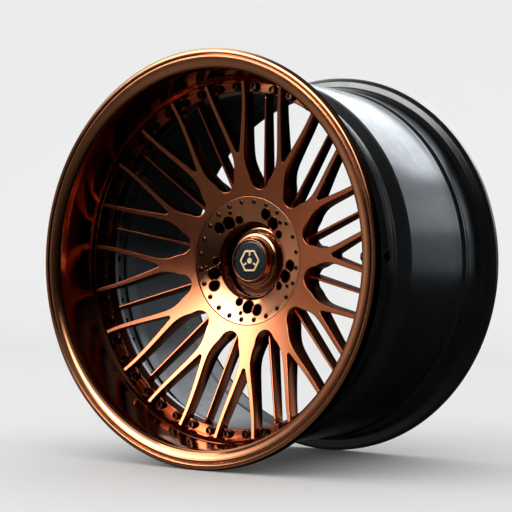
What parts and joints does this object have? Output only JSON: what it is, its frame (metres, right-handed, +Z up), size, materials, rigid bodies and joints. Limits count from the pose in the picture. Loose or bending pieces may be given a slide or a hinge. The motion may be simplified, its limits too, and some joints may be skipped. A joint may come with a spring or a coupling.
{
  "type": "racing wheel rim",
  "caption": "Three-piece forged racing wheel with a deep polished lip, forked arms, a ring of clamping bolts, a stepped screw-on centre cap and a wide inner barrel.",
  "frame": {"origin": "on the wheel's axis at the middle of its width", "axes": "+Y along the axle towards the car, so the street face looks towards -Y; +Z up; the valve points along +X"},
  "size_m": [0.497, 0.2918, 0.497],
  "materials": {
    "polished_copper": "polished copper coloured metal, mirror bright",
    "satin_copper": "satin copper coloured forged aluminium",
    "black_paint": "satin black powder coat",
    "black_gloss": "gloss black",
    "gold_badge": "pale gold plate",
    "dark_steel": "dark bronze plated steel",
    "steel": "turned steel",
    "brass": "turned brass",
    "rubber": "matt black rubber"
  },
  "bodies": {
    "rim": {"outer_lip": "polished_copper", "inner_barrel": "black_paint", "centre_spider": "satin_copper", "hub_plate": "polished_copper", "hub_plate_screws": "dark_steel", "lug_seat_inserts": "steel", "assembly_bolts": "dark_steel", "bolt_washers": "dark_steel", "assembly_nuts": "dark_steel", "rim_seal": "rubber", "spigot_ring": "steel", "cap_base": "polished_copper", "valve_stem": "steel", "valve_grommet": "rubber", "valve_washer": "steel", "valve_nut": "steel", "valve_core": "brass"},
    "cap_slide": {"cap_washer": "steel"},
    "cap": {"centre_cap": "polished_copper", "cap_bezel": "polished_copper", "cap_disc": "black_gloss", "cap_emblem": "gold_badge"},
    "valve_pin": {"valve_pin": "brass"},
    "valve_cap": {"valve_cap": "polished_copper"}
  },
  "joints": [
    {"name": "cap_lift", "type": "slide", "parent": "rim", "child": "cap_slide", "axis": [0, -1, 0], "range_m": [0, 0.006]},
    {"name": "cap_turn", "type": "hinge", "parent": "cap_slide", "child": "cap", "pos_m": [0, 0, 0], "axis": [0, -1, 0], "range_deg": [0, 1440]},
    {"name": "valve_pin_press", "type": "slide", "parent": "rim", "child": "valve_pin", "axis": [1, 0, 0], "range_m": [0, 0.0015], "stiffness_N_per_m": 400, "springref_m": -0.001},
    {"name": "valve_cap_pull", "type": "slide", "parent": "rim", "child": "valve_cap", "axis": [-1, 0, 0], "range_m": [0, 0.012]}
  ],
  "couplings": [
    {"joint": "cap_lift", "follows": "cap_turn", "m_per_rad": 0.0002387}
  ]
}
